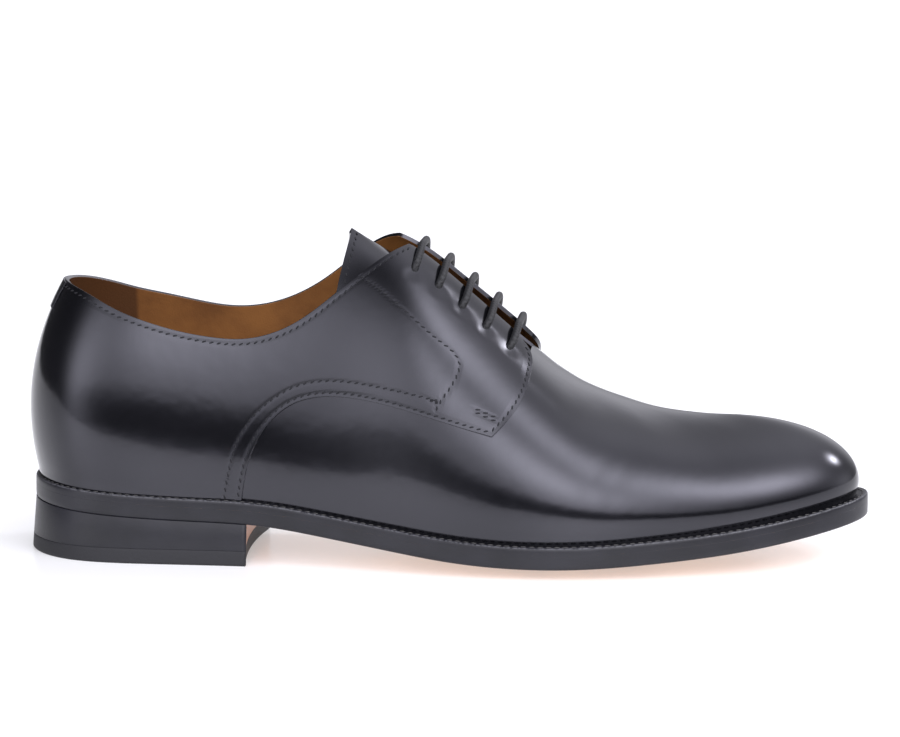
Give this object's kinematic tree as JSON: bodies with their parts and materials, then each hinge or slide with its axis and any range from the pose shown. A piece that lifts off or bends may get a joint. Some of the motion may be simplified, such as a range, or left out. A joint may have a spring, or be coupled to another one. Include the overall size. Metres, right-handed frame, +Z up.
{
  "type": "derby shoe",
  "caption": "Plain-toe derby shoe for the right foot, in polished black leather, with open lacing, a welted leather sole and a stacked heel.",
  "frame": {"origin": "centre of the heel's flat bottom, on the floor", "axes": "+X to the toe, +Y to the inner side of the foot, +Z up"},
  "size_m": [0.3067, 0.1035, 0.1202],
  "materials": {
    "black_calf": "polished",
    "black_edge": "waxed",
    "tan_leather": "matt",
    "sole_leather": "satin",
    "heel_rubber": "matt",
    "waxed_cotton": "waxed"
  },
  "bodies": {
    "root": {"upper": "black_calf", "tongue": "black_calf", "insole": "tan_leather", "welt": "black_edge", "outsole": "sole_leather", "heel_stack": "black_edge", "heel_top_piece": "heel_rubber", "lace_bar_1": "waxed_cotton", "lace_bar_2": "waxed_cotton", "lace_bar_3": "waxed_cotton", "lace_bar_4": "waxed_cotton", "lace_bar_5": "waxed_cotton"}
  },
  "joints": []
}
